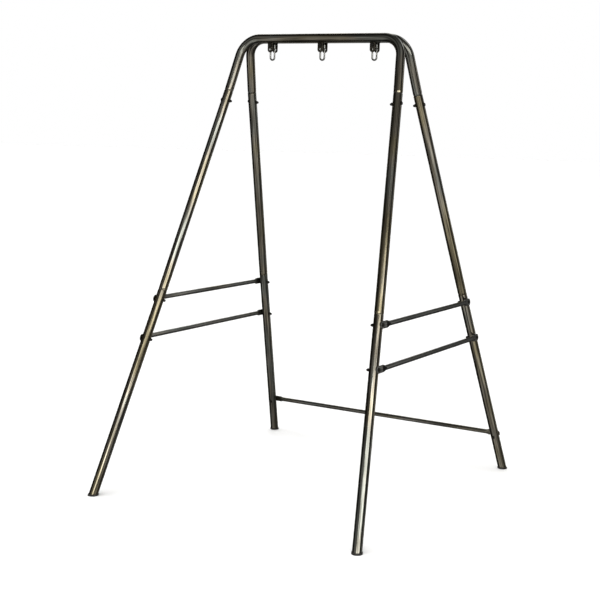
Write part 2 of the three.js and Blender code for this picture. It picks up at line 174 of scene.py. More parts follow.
# ---- materials ----
def add_node(tree, kind, inputs=None, **settings):
    """Adds a node. inputs maps a socket's name or number to a value or to the socket that feeds it."""
    node = tree.nodes.new(kind)
    for key, value in settings.items():
        setattr(node, key, value)
    for key, value in (inputs or {}).items():
        if isinstance(value, bpy.types.NodeSocket):
            tree.links.new(value, node.inputs[key])
        else:
            node.inputs[key].default_value = value
    return node


def new_material(name):
    material = bpy.data.materials.new(name)
    material.use_nodes = True
    material.node_tree.nodes.clear()
    return material, material.node_tree


def finish_material(tree, shader):
    add_node(tree, "ShaderNodeOutputMaterial", {"Surface": shader.outputs[0]})


def noise(tree, place, scales, detail=3.0, roughness=0.55, seed=0.0):
    """Noise with its own scale along each axis of the coordinates, per metre."""
    stretched = add_node(
        tree, "ShaderNodeVectorMath", {0: place, 1: scales}, operation="MULTIPLY"
    )
    moved = add_node(
        tree,
        "ShaderNodeVectorMath",
        {0: stretched.outputs[0], 1: (seed, 1.7 * seed, 2.3 * seed)},
        operation="ADD",
    )
    made = add_node(
        tree,
        "ShaderNodeTexNoise",
        {"Vector": moved.outputs[0], "Scale": 1.0, "Detail": detail, "Roughness": roughness},
    )
    return made.outputs["Fac"]


def remap(tree, value, low, high, out_low, out_high):
    made = add_node(
        tree,
        "ShaderNodeMapRange",
        {"Value": value, "From Min": low, "From Max": high, "To Min": out_low, "To Max": out_high},
    )
    return made.outputs["Result"]


def ramp(tree, value, stops):
    made = add_node(tree, "ShaderNodeValToRGB", {"Fac": value})
    elements = made.color_ramp.elements
    while len(elements) < len(stops):
        elements.new(0.5)
    for element, (position, colour) in zip(elements, stops):
        element.position = position
        element.color = (*colour, 1.0)
    return made.outputs["Color"]


def multiply_colours(tree, first, second):
    made = add_node(
        tree,
        "ShaderNodeMix",
        {0: 1.0, 6: first, 7: second},
        data_type="RGBA",
        blend_type="MULTIPLY",
    )
    return made.outputs[2]


# how often the brushed finish changes along its grain's three directions, per metre: twice across
# a tube, and along it
STREAKS = (420, 420, 5)
BANDS = (130, 130, 5)
TONING = (14, 14, 4)
SPECKS = (1500, 1500, 500)
BRUSHED_RELIEF = 0.22
RELIEF_DEPTH = 0.0002
COAT_ROUGHNESS = 0.22


def brushed_metal(name, dark, middle, light, tones, roughness, coat, seed):
    """Antique finish over metal brushed along the tube: fine streaks over broad, uneven toning."""
    material, tree = new_material(name)
    grain = add_node(tree, "ShaderNodeAttribute", attribute_name="grain").outputs["Vector"]
    leaning = add_node(tree, "ShaderNodeAttribute", attribute_name="leaning").outputs["Fac"]
    streaks = noise(tree, grain, STREAKS, detail=4, seed=seed)
    bands = noise(tree, grain, BANDS, detail=3, seed=seed + 3)
    toning = noise(tree, grain, TONING, detail=2, seed=seed + 7)
    specks = noise(tree, grain, SPECKS, detail=2, seed=seed + 11)
    mixed = add_node(
        tree, "ShaderNodeMath", {0: streaks, 1: bands}, operation="ADD"
    ).outputs[0]
    shade = remap(tree, mixed, 0.80, 1.20, 0, 1)
    metal = ramp(tree, shade, ((0, dark), (0.5, middle), (1, light)))
    place = add_node(tree, "ShaderNodeMath", {0: toning, 1: leaning}, operation="ADD").outputs[0]
    tint = ramp(tree, remap(tree, place, 0.36, 0.64, 0, 1), tones)
    toned = multiply_colours(tree, metal, tint)
    rough = remap(tree, mixed, 0.75, 1.25, roughness[0], roughness[1])
    relief = add_node(
        tree, "ShaderNodeMath", {0: specks, 1: streaks, 2: streaks}, operation="MULTIPLY_ADD"
    ).outputs[0]
    bump = add_node(
        tree,
        "ShaderNodeBump",
        {"Strength": BRUSHED_RELIEF, "Distance": RELIEF_DEPTH, "Height": relief},
    )
    shader = add_node(
        tree,
        "ShaderNodeBsdfPrincipled",
        {
            "Base Color": toned,
            "Metallic": 1.0,
            "Roughness": rough,
            "Normal": bump.outputs[0],
            "Coat Weight": coat,
            "Coat Roughness": COAT_ROUGHNESS,
        },
    )
    finish_material(tree, shader)
    return material


def mottled_metal(name, dark, light, roughness, metallic, scale, relief, seed):
    """Metal or paint with fine uneven toning, in the piece's own coordinates."""
    material, tree = new_material(name)
    place = add_node(tree, "ShaderNodeTexCoord").outputs["Object"]
    cloud = noise(tree, place, (scale, scale, scale), detail=4, seed=seed)
    grit = noise(tree, place, (9 * scale, 9 * scale, 9 * scale), detail=2, seed=seed + 5)
    colour = ramp(tree, remap(tree, cloud, 0.3, 0.7, 0, 1), ((0, dark), (1, light)))
    rough = remap(tree, cloud, 0.3, 0.7, roughness[0], roughness[1])
    bump = add_node(
        tree, "ShaderNodeBump", {"Strength": relief, "Distance": RELIEF_DEPTH, "Height": grit}
    )
    shader = add_node(
        tree,
        "ShaderNodeBsdfPrincipled",
        {
            "Base Color": colour,
            "Metallic": metallic,
            "Roughness": rough,
            "Normal": bump.outputs[0],
        },
    )
    finish_material(tree, shader)
    return material


# tint of the antique finish from its golden patches to its cool ones
BRONZE_TONES = (
    (0.0, (1.0, 0.92, 0.70)),
    (0.35, (1.0, 0.96, 0.86)),
    (0.6, (1.0, 0.96, 0.92)),
    (1.0, (0.88, 0.95, 1.0)),
)
BAR_TONES = (
    (0.0, (1.0, 0.95, 0.82)),
    (0.5, (1.0, 0.98, 0.95)),
    (1.0, (0.94, 0.98, 1.0)),
)

bronze_tube = brushed_metal(
    "bronze_tube",
    dark=(0.10, 0.092, 0.075),
    middle=(0.35, 0.33, 0.285),
    light=(0.72, 0.685, 0.60),
    tones=BRONZE_TONES,
    roughness=(0.22, 0.12),
    coat=0.20,
    seed=1.0,
)
bronze_bar = brushed_metal(
    "bronze_bar",
    dark=(0.12, 0.118, 0.112),
    middle=(0.27, 0.267, 0.253),
    light=(0.47, 0.465, 0.44),
    tones=BAR_TONES,
    roughness=(0.28, 0.18),
    coat=0.15,
    seed=21.0,
)
worn_rim = mottled_metal(
    "worn_rim", (0.80, 0.80, 0.76), (0.95, 0.95, 0.90), (0.60, 0.46), 1.0, 300, 0.15, 31.0
)
dark_fastener = mottled_metal(
    "dark_fastener", (0.020, 0.019, 0.018), (0.060, 0.056, 0.050), (0.50, 0.36), 0.85, 420, 0.25, 41.0
)
ear_bronze = mottled_metal(
    "ear_bronze", (0.05, 0.045, 0.036), (0.17, 0.155, 0.125), (0.48, 0.34), 1.0, 260, 0.25, 51.0
)
zinc = mottled_metal(
    "zinc", (0.31, 0.315, 0.30), (0.50, 0.51, 0.485), (0.34, 0.24), 1.0, 340, 0.12, 61.0
)
foot_plastic = mottled_metal(
    "foot_plastic", (0.014, 0.013, 0.012), (0.030, 0.028, 0.026), (0.56, 0.44), 0.0, 380, 0.35, 71.0
)


# ---- mesh helpers ----
def ring(centre, axis_a, axis_b, half_a, half_b, sides, power=2.0):
    """Points round a centre. power 2 is an ellipse, and a higher power is squarer."""
    angles = 2 * np.pi * np.arange(sides) / sides
    cosine, sine = np.cos(angles), np.sin(angles)
    along_a = half_a * np.sign(cosine) * np.abs(cosine) ** (2 / power)
    along_b = half_b * np.sign(sine) * np.abs(sine) ** (2 / power)
    points = np.outer(along_a, np.array(axis_a)) + np.outer(along_b, np.array(axis_b))
    return points + np.array(centre)


def mesh_from_rings(name, rings, joins_itself=False, rim_spans=()):
    """A closed mesh through a list of rings. Faces that follow a ring in rim_spans take material 1."""
    sides = len(rings[0])
    count = len(rings)
    faces = []
    indices = []
    for here in range(count if joins_itself else count - 1):
        after = (here + 1) % count
        for i in range(sides):
            j = (i + 1) % sides
            faces.append((here * sides + i, here * sides + j, after * sides + j, after * sides + i))
            indices.append(1 if here in rim_spans else 0)
    if not joins_itself:
        faces.append(tuple(range(sides - 1, -1, -1)))
        faces.append(tuple(range((count - 1) * sides, count * sides)))
        indices += [0, 0]
    mesh = bpy.data.meshes.new(name)
    mesh.from_pydata(np.concatenate(rings).tolist(), [], faces)
    mesh.polygons.foreach_set("material_index", indices)
    tidy(mesh)
    return mesh


def tidy(mesh):
    """Welds doubled points, turns the faces outwards, and keeps true edges crisp when shaded."""
    body = bmesh.new()
    body.from_mesh(mesh)
    bmesh.ops.remove_doubles(body, verts=body.verts, dist=1e-6)
    bmesh.ops.recalc_face_normals(body, faces=body.faces)
    if body.calc_volume(signed=True) < 0:
        bmesh.ops.reverse_faces(body, faces=body.faces)
    for face in body.faces:
        face.smooth = True
    for edge in body.edges:
        edge.smooth = edge.calc_face_angle(0) < SHARP_ANGLE
    body.to_mesh(mesh)
    body.free()


def turned(centre, axis, across, profile, sides=ROUND_SIDES):
    """Rings along an axis from (distance, radius, across flats) rows: a hexagon where flats is given."""
    other = axis.cross(across)
    angles = 2 * np.pi * np.arange(sides) / sides
    fold = np.cos((angles % (np.pi / 3)) - np.pi / 6)
    rings = []
    for distance, radius, flats in profile:
        reach = np.full(sides, radius)
        if flats:
            reach = np.minimum(reach, flats / 2 / fold)
        points = np.outer(reach * np.cos(angles), np.array(across))
        points += np.outer(reach * np.sin(angles), np.array(other))
        rings.append(points + np.array(centre + axis * distance))
    return rings


def cutter(centre, direction, radius, length):
    across = direction.orthogonal().normalized()
    profile = [(-length / 2, radius, 0), (length / 2, radius, 0)]
    return mesh_from_rings("cutter", turned(centre, direction.normalized(), across, profile, 24))


def block(centre, half_sizes):
    rings = []
    for sign in (-1, 1):
        level = [(-1, -1), (1, -1), (1, 1), (-1, 1)]
        rings.append(np.array([
            (
                centre[0] + half_sizes[0] * a,
                centre[1] + half_sizes[1] * b,
                centre[2] + half_sizes[2] * sign,
            )
            for a, b in level
        ]))
    return mesh_from_rings("cutter", rings)


def cut(mesh, cutters):
    """The mesh with the cutters' shapes taken out of it."""
    scene = bpy.context.scene.collection
    target = bpy.data.objects.new("target", mesh)
    scene.objects.link(target)
    tools = []
    for shape in cutters:
        tool = bpy.data.objects.new("tool", shape)
        scene.objects.link(tool)
        tools.append(tool)
        change = target.modifiers.new("cut", "BOOLEAN")
        change.operation = "DIFFERENCE"
        change.solver = "EXACT"
        change.object = tool
    depsgraph = bpy.context.evaluated_depsgraph_get()
    result = bpy.data.meshes.new_from_object(target.evaluated_get(depsgraph))
    result.name = mesh.name
    for used in (target, *tools):
        shape = used.data
        bpy.data.objects.remove(used)
        bpy.data.meshes.remove(shape)
    tidy(result)
    return result


grain_start = 0.0  # each piece's finish starts further along, so that no two are alike
GRAIN_SPACING = 0.37

# How far the finish leans from golden, below zero, to cool, above zero, at a tube's two ends:
# the top tubes from left to right, and the legs from the bottom up
FINISH_LEANINGS = {
    "front_top_tube": (-0.05, 0.09),
    "rear_top_tube": (-0.02, 0.18),
    "front_left_upper_leg": (-0.02, 0.06),
    "front_left_lower_leg": (-0.12, -0.08),
    "front_right_upper_leg": (-0.10, 0.04),
    "front_right_lower_leg": (0.09, 0.02),
    "rear_left_upper_leg": (-0.02, 0.03),
    "rear_left_lower_leg": (0.09, 0.15),
    "rear_right_upper_leg": (-0.08, -0.05),
    "rear_right_lower_leg": (-0.03, 0.0),
    "left_upper_side_bar": (0.10, 0.10),
    "left_lower_side_bar": (0.08, 0.12),
    "right_upper_side_bar": (0.14, 0.14),
    "right_lower_side_bar": (0.14, 0.14),
    "rear_low_bar": (-0.06, -0.10),
}


def store_grain(name, mesh, path, across):
    """Keeps each point's place along a tube, so that a brushed finish follows the tube, and how
    far the finish leans there."""
    global grain_start
    across = np.array(across, float)
    path = np.array([list(point) for point in path], float)
    count = len(mesh.vertices)
    points = np.zeros(count * 3)
    mesh.vertices.foreach_get("co", points)
    points = points.reshape(-1, 3)
    nearest = np.full(count, np.inf)
    grain = np.zeros((count, 3))
    travelled = 0.0
    for start, stop in zip(path[:-1], path[1:]):
        step = stop - start
        length = np.linalg.norm(step)
        share = np.clip((points - start) @ step / length ** 2, 0, 1)
        offset = points - start - share[:, None] * step
        distance = np.linalg.norm(offset, axis=1)
        closer = distance < nearest - 1e-9
        nearest[closer] = distance[closer]
        other = np.cross(step / length, across)
        values = np.stack([offset @ across, offset @ other, travelled + share * length], axis=1)
        grain[closer] = values[closer]
        travelled += length
    leaning = np.interp(grain[:, 2], [0, travelled], FINISH_LEANINGS[name])
    grain[:, 2] += grain_start
    grain_start += travelled + GRAIN_SPACING
    attribute = mesh.attributes.new("grain", "FLOAT_VECTOR", "POINT")
    attribute.data.foreach_set("vector", grain.astype(np.float32).ravel())
    attribute = mesh.attributes.new("leaning", "FLOAT", "POINT")
    attribute.data.foreach_set("value", leaning.astype(np.float32))


def add_piece(name, mesh, materials, body="root", replaced=()):
    mesh.name = name
    mesh.materials.clear()
    for material in materials:
        mesh.materials.append(material)
    piece = bpy.data.objects.new(name, mesh)
    bpy.context.scene.collection.objects.link(piece)
    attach(piece, body)
    if replaced:
        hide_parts(*replaced)


# ---- the frame's directions and points ----
def side_name(side):
    return "left" if side < 0 else "right"


def end_name(end):
    return "front" if end < 0 else "rear"


def outboard(side):
    angle = math.atan(WIDTH_SLOPE)
    return Vector((side * math.cos(angle), 0, math.sin(angle)))


def leg_node(side, end, index):
    height, depth = LEG_NODES[index]
    return Vector((side * (FOOT_HALF_WIDTH - height * WIDTH_SLOPE), end * depth, height))


def leg_up(side, end, index):
    return (leg_node(side, end, index + 1) - leg_node(side, end, index)).normalized()


def leg_point(side, end, index, height):
    base, up = leg_node(side, end, index), leg_up(side, end, index)
    return base + up * ((height - base.z) / up.z)


def bolt_cutter(side, end, index, height):
    centre = leg_point(side, end, index, height)
    return cutter(centre, outboard(side), BOLT_HOLE_RADIUS, THROUGH_A_TUBE)


# ---- tubes ----
# distance above the socket's rim and outer radius, from the full tube down to the spigot
SHOULDER = (
    (SHOULDER_LENGTH + 0.0020, TUBE_RADIUS),
    (SHOULDER_LENGTH, TUBE_RADIUS - 0.00006),
    (0.80 * SHOULDER_LENGTH, TUBE_RADIUS - 0.00022),
    (0.60 * SHOULDER_LENGTH, TUBE_RADIUS - 0.00052),
    (0.40 * SHOULDER_LENGTH, TUBE_RADIUS - 0.00092),
    (0.22 * SHOULDER_LENGTH, TUBE_RADIUS - 0.00136),
    (0.08 * SHOULDER_LENGTH, TUBE_RADIUS - 0.00172),
    (-0.0010, TUBE_RADIUS - 0.0020),
    (-0.0030, SPIGOT_RADIUS),
)
# how far above the rim the finish has rubbed off the shoulder where tubes plug together
WORN_BAND = 0.0020
# distance below the rim and what it adds to the tube's radius, for the rounded lip of a socket
LIP = (
    (0.0045, 0.0),
    (0.0024, 0.0),
    (0.0016, 0.00012),
    (0.0006, 0.00010),
    (0.00015, -0.00015),
    (0.0, -0.0005),
)
# the first of the lip's spans that is worn: at the upper sockets the wear reaches further down
UPPER_SOCKET_WEAR, LOWER_SOCKET_WEAR = 0, 2


def worn_stations():
    """The first stations of the shoulder's spans that lie within the worn band."""
    return [index for index in range(len(SHOULDER) - 1) if SHOULDER[index][0] < WORN_BAND]


def shoulder_stations(seam, up, socket_up):
    """Stations from the full tube down through its shoulder to the end of its spigot."""
    stations = []
    for distance, radius in SHOULDER:
        direction = up if distance > 0 else socket_up
        stations.append((seam + direction * distance, direction, radius))
    for distance, radius in (
        (SPIGOT_LENGTH - 0.001, SPIGOT_RADIUS),
        (SPIGOT_LENGTH, SPIGOT_RADIUS - 0.0006),
    ):
        stations.append((seam - socket_up * distance, socket_up, radius))
    return stations


def tube_ring(centre, tangent, across, radius):
    deep = Vector(tangent).cross(across).normalized()
    level = deep.cross(Vector(tangent)).normalized()
    return ring(centre, level, deep, radius, radius, TUBE_SIDES)


def hollow(stations, across):
    """Outer rings one way and inner rings back, for a tube open at both ends."""
    outer = [tube_ring(centre, tangent, across, radius) for centre, tangent, radius in stations]
    inner = [
        tube_ring(centre, tangent, across, radius - TUBE_WALL)
        for centre, tangent, radius in stations
    ]
    return outer, inner[::-1]


def lip_rings(seam, up, across):
    """The rounded upper rim of a tube that the next one plugs into, from outside to inside."""
    outer = [
        tube_ring(seam - up * distance, up, across, TUBE_RADIUS + extra)
        for distance, extra in LIP
    ]
    inner = [
        tube_ring(seam, up, across, BORE_RADIUS + 0.00025),
        tube_ring(seam - up * 0.0005, up, across, BORE_RADIUS),
    ]
    return outer, inner


def top_tube(end):
    across = X.cross(leg_up(1, end, TOP)).normalized()
    corner = leg_node(1, end, 3)
    down = -leg_up(1, end, TOP)
    turn = (-X).angle(down)
    tangent_length = CORNER_BEND_RADIUS / math.tan(turn / 2)
    centre = corner + (down - X).normalized() * (CORNER_BEND_RADIUS / math.sin(turn / 2))
    start = corner - X * tangent_length - centre
    normal = X.cross(down).normalized()
    half = []
    for step in range(BEND_STEPS + 1):
        rotation = Matrix.Rotation((math.pi - turn) * step / BEND_STEPS, 3, normal)
        half.append((rotation @ start + centre, rotation @ X, TUBE_RADIUS))
    seam = leg_node(1, end, 2)
    # the stations run down the leg, so their tangents point down
    for point, up, radius in shoulder_stations(seam, leg_up(1, end, TOP), leg_up(1, end, UPPER)):
        half.append((point, -up, radius))
    mirrored = [
        (Vector((-point.x, point.y, point.z)), Vector((tangent.x, -tangent.y, -tangent.z)), radius)
        for point, tangent, radius in half
    ]
    stations = mirrored[::-1] + half
    outer, inner = hollow(stations, across)
    worn = [BEND_STEPS + 1 + index for index in worn_stations()]
    worn_spans = [len(half) + index for index in worn]
    worn_spans += [len(half) - 2 - index for index in worn]
    mesh = mesh_from_rings("tube", outer + inner, joins_itself=True, rim_spans=worn_spans)
    drills = [bolt_cutter(side, end, UPPER, UPPER_JOINT_BOLT_HEIGHT) for side in (-1, 1)]
    mesh = cut(mesh, drills)
    name = f"{end_name(end)}_top_tube"
    store_grain(name, mesh, [point for point, _, _ in stations], across)
    add_piece(f"{name}_bent", mesh, [bronze_tube, worn_rim], replaced=[name])


def upper_leg(side, end):
    across = outboard(side)
    top, bottom = leg_node(side, end, 2), leg_node(side, end, 1)
    up, socket_up = leg_up(side, end, UPPER), leg_up(side, end, LOWER)
    lip_outer, lip_inner = lip_rings(top, up, across)
    stations = shoulder_stations(bottom, up, socket_up)
    outer, inner = hollow(stations, across)
    rings = lip_outer + lip_inner + inner[::-1] + outer[::-1]
    worn_spans = list(range(UPPER_SOCKET_WEAR, len(lip_outer)))
    worn_spans += [len(rings) - 2 - index for index in worn_stations()]
    mesh = mesh_from_rings("tube", rings, joins_itself=True, rim_spans=worn_spans)
    mesh = cut(mesh, [
        bolt_cutter(side, end, UPPER, UPPER_JOINT_BOLT_HEIGHT),
        bolt_cutter(side, end, LOWER, UPPER_SIDE_BAR_HEIGHT),
    ])
    name = f"{end_name(end)}_{side_name(side)}_upper_leg"
    store_grain(name, mesh, [stations[-1][0], bottom, top], across)
    add_piece(f"{name}_tube", mesh, [bronze_tube, worn_rim], replaced=[name])


def levelled(points, up, height):
    """Moves points along the leg until each is at one height above the floor."""
    shift = (height - points[:, 2]) / up.z
    return points + np.outer(shift, np.array(up))


def lower_leg(side, end):
    across = outboard(side)
    top, foot = leg_node(side, end, 1), leg_node(side, end, 0)
    up = leg_up(side, end, LOWER)
    lip_outer, lip_inner = lip_rings(top, up, across)
    cut_height = FOOT_FLANGE_HEIGHT + GAP
    ends = [
        levelled(tube_ring(foot, up, across, radius), up, height)
        for radius, height in (
            (BORE_RADIUS, cut_height),
            (TUBE_RADIUS - 0.0003, cut_height),
            (TUBE_RADIUS, cut_height + 0.0003),
        )
    ]
    rings = lip_outer + lip_inner + ends
    worn_spans = range(LOWER_SOCKET_WEAR, len(lip_outer))
    mesh = mesh_from_rings("tube", rings, joins_itself=True, rim_spans=worn_spans)
    drills = [
        bolt_cutter(side, end, LOWER, height)
        for height in (UPPER_SIDE_BAR_HEIGHT, LOWER_SIDE_BAR_HEIGHT)
    ]
    if end == 1:
        rear_bolt = leg_point(side, end, LOWER, REAR_BAR_HEIGHT)
        drills.append(cutter(rear_bolt, rearward, BOLT_HOLE_RADIUS, THROUGH_A_TUBE))
    mesh = cut(mesh, drills)
    name = f"{end_name(end)}_{side_name(side)}_lower_leg"
    store_grain(name, mesh, [foot, top], across)
    add_piece(f"{name}_tube", mesh, [bronze_tube, worn_rim], replaced=[name])


def foot_cap(side, end):
    """A plastic plug whose flange stands flat on the floor, with its stem up inside the tube."""
    across = outboard(side)
    foot, up = leg_node(side, end, 0), leg_up(side, end, LOWER)
    flange = TUBE_RADIUS + FOOT_FLANGE_OVERHANG
    stem = BORE_RADIUS - 2 * GAP
    profile = (
        (flange - 0.0030, 0.0004),
        (flange - 0.0022, 0.0),
        (flange - 0.0009, 0.0),
        (flange - 0.0003, 0.0004),
        (flange, 0.0013),
        (flange, FOOT_FLANGE_HEIGHT - 0.0014),
        (flange - 0.0002, FOOT_FLANGE_HEIGHT - 0.0007),
        (flange - 0.0006, FOOT_FLANGE_HEIGHT - 0.0002),
        (flange - 0.0012, FOOT_FLANGE_HEIGHT),
        (stem, FOOT_FLANGE_HEIGHT),
    )
    rings = [
        levelled(tube_ring(foot, up, across, radius), up, height) for radius, height in profile
    ]
    rings.append(tube_ring(foot + up * (FOOT_PLUG_LENGTH - 0.001), up, across, stem))
    rings.append(tube_ring(foot + up * FOOT_PLUG_LENGTH, up, across, stem - 0.001))
    mesh = mesh_from_rings("cap", rings)
    name = f"{end_name(end)}_{side_name(side)}_foot_cap"
    add_piece(f"{name}_plug", mesh, [foot_plastic], replaced=[name])


# ---- crossbars: round tube with flattened, round-cornered ends ----
def ease(value):
    value = min(max(value, 0.0), 1.0)
    return value * value * (3 - 2 * value)


def bar_section(distance, bolt):
    """Half thickness, half width and squareness of the bar at a distance from its middle."""
    flatness = ease((distance - (bolt - TAB_FLAT_LENGTH - TAB_TRANSITION)) / TAB_TRANSITION)
    thick = BAR_RADIUS + (TAB_HALF_THICKNESS - BAR_RADIUS) * flatness
    wide = BAR_RADIUS + (TAB_HALF_WIDTH - BAR_RADIUS) * ease(1.25 * flatness)
    corner = distance - (bolt + TAB_BEYOND_BOLT - TAB_CORNER_RADIUS)
    if corner > 0:
        inset = math.sqrt(max(TAB_CORNER_RADIUS ** 2 - corner ** 2, 0))
        wide = TAB_HALF_WIDTH - TAB_CORNER_RADIUS + inset
    return thick, wide, 2 + 3.5 * flatness ** 2


def crossbar(name, middle, along, outward, bolt):
    end = bolt + TAB_BEYOND_BOLT
    start = bolt - TAB_FLAT_LENGTH - TAB_TRANSITION
    flat = bolt - TAB_FLAT_LENGTH
    half = [
        start + TAB_TRANSITION * step / TAB_TRANSITION_STEPS
        for step in range(TAB_TRANSITION_STEPS + 1)
    ]
    half.append(flat + 0.012)
    half.append(end - TAB_CORNER_RADIUS)
    half += [
        end - TAB_CORNER_RADIUS * (1 - math.sin(math.pi / 2 * step / TAB_CORNER_STEPS))
        for step in range(1, TAB_CORNER_STEPS)
    ]
    half.append(end - 0.00004)
    stops = [-distance for distance in reversed(half)] + half
    upward = outward.cross(along).normalized()
    outer, inner = [], []
    for stop in stops:
        thick, wide, power = bar_section(abs(stop), bolt)
        centre = middle + along * stop
        outer.append(ring(centre, outward, upward, thick, wide, BAR_SIDES, power))
        wall = (thick - BAR_WALL, wide - BAR_WALL)
        inner.append(ring(centre, outward, upward, *wall, BAR_SIDES, power))
    mesh = mesh_from_rings("bar", outer + inner[::-1], joins_itself=True)
    mesh = cut(mesh, [
        cutter(middle + along * sign * bolt, outward, BOLT_HOLE_RADIUS, THROUGH_SMALL_PARTS)
        for sign in (-1, 1)
    ])
    store_grain(name, mesh, [middle - along * end, middle + along * end], outward)
    add_piece(f"{name}_tube", mesh, [bronze_bar], replaced=[name])


# ---- bolts through the legs ----
def leg_bolt(name, centre, outward, head_face, nut_face):
    across = outward.orthogonal().normalized()
    head = [(head_face, BOLT_RADIUS, 0), (head_face, BOLT_HEAD_RADIUS - 0.0003, 0)]
    head.append((head_face + 0.0004, BOLT_HEAD_RADIUS, 0))
    for step in range(1, 9):
        angle = math.pi / 2 * step / 8.5
        rise = 0.0012 + (BOLT_HEAD_HEIGHT - 0.0012) * math.sin(angle)
        head.append((head_face + rise, BOLT_HEAD_RADIUS * math.cos(angle) ** 0.8, 0))
    shank = [(-nut_face - 0.003, BOLT_RADIUS - 0.0006, 0), (-nut_face - 0.0024, BOLT_RADIUS, 0)]
    mesh = mesh_from_rings("bolt", turned(centre, outward, across, shank + head))
    add_piece(f"{name}_screw", mesh, [dark_fastener], replaced=[name])

    flats = 2 * CAP_NUT_REACH * math.cos(math.pi / 6)
    dome = 0.94 * flats / 2
    hexagon = 0.45 * CAP_NUT_HEIGHT
    nut = [
        (nut_face, flats / 2 - 0.0002, 0),
        (nut_face + 0.0005, CAP_NUT_REACH, flats),
        (nut_face + hexagon - 0.0006, CAP_NUT_REACH, flats),
        (nut_face + hexagon, flats / 2, 0),
        (nut_face + hexagon + 0.0002, dome, 0),
    ]
    for step in range(1, 9):
        angle = math.pi / 2 * step / 8.4
        rise = (CAP_NUT_HEIGHT - hexagon) * math.sin(angle)
        nut.append((nut_face + hexagon + rise, dome * math.cos(angle) ** 0.9, 0))
    mesh = mesh_from_rings("nut", turned(centre, -outward, across, nut))
    add_piece(f"{name}_cap_nut", mesh, [dark_fastener], replaced=[name])


# ---- hangers ----
def ear(name, x, end):
    """A plate with a rounded lower end, a bolt hole and an open lower hole, all bevelled."""
    bevel = 0.0005
    top = BEAM_HEIGHT - TUBE_RADIUS - 0.0001
    round_centre = BEAM_HEIGHT - TUBE_RADIUS - EAR_DROP + EAR_WIDTH / 2
    curve = bpy.data.curves.new("ear", "CURVE")
    curve.dimensions = "2D"
    curve.fill_mode = "BOTH"
    curve.extrude = EAR_THICKNESS / 2 - bevel
    curve.bevel_depth = bevel
    curve.bevel_resolution = 2
    curve.offset = -bevel
    half = EAR_WIDTH / 2
    outline = [(half, top), (-half, top)]
    for step in range(EAR_ARC_STEPS + 1):
        angle = math.pi + math.pi * step / EAR_ARC_STEPS
        outline.append((half * math.cos(angle), round_centre + half * math.sin(angle)))
    holes = (
        (HANGER_BOLT_HEIGHT, BOLT_RADIUS + 2 * GAP),
        (BEAM_HEIGHT - TUBE_RADIUS - EAR_SPARE_HOLE_DROP, EAR_SPARE_HOLE_RADIUS),
    )
    loops = [outline]
    for height, radius in holes:
        angles = [2 * math.pi * step / EAR_HOLE_SIDES for step in range(EAR_HOLE_SIDES)]
        loops.append([
            (radius * math.cos(angle), height - radius * math.sin(angle)) for angle in angles
        ])
    for loop in loops:
        spline = curve.splines.new("POLY")
        spline.points.add(len(loop) - 1)
        for point, (a, b) in zip(spline.points, loop):
            point.co = (a, b, 0, 1)
        spline.use_cyclic_u = True
    source = bpy.data.objects.new("ear", curve)
    bpy.context.scene.collection.objects.link(source)
    depsgraph = bpy.context.evaluated_depsgraph_get()
    mesh = bpy.data.meshes.new_from_object(source.evaluated_get(depsgraph))
    bpy.data.objects.remove(source)
    bpy.data.curves.remove(curve)
    mesh.transform(Matrix.Rotation(math.pi / 2, 4, "X"))
    mesh.transform(Matrix.Translation((x, end * TOP_TUBE_HALF_SPACING, 0)))
    tidy(mesh)
    add_piece(f"{name}_plate", mesh, [ear_bronze], replaced=[name])

    # the weld that holds the plate to the tube runs round its top, with a rippled bead
    rings = []
    for step in range(WELD_STEPS):
        angle = 2 * math.pi * step / WELD_STEPS
        wide = (half - 0.0005) * math.copysign(abs(math.cos(angle)) ** 0.25, math.cos(angle))
        thick = EAR_THICKNESS / 2 * math.copysign(abs(math.sin(angle)) ** 0.25, math.sin(angle))
        bead = WELD_RADIUS * (1 + WELD_RIPPLE_SHARE * math.sin(WELD_RIPPLES * angle))
        centre = Vector((x + wide, end * TOP_TUBE_HALF_SPACING + thick, top - 0.0003))
        outward = Vector((math.cos(angle), math.sin(angle), 0))
        rings.append(ring(centre, outward, Z, bead, bead, WELD_SIDES))
    mesh = mesh_from_rings("weld", rings, joins_itself=True)
    add_piece(f"{name}_weld", mesh, [ear_bronze])


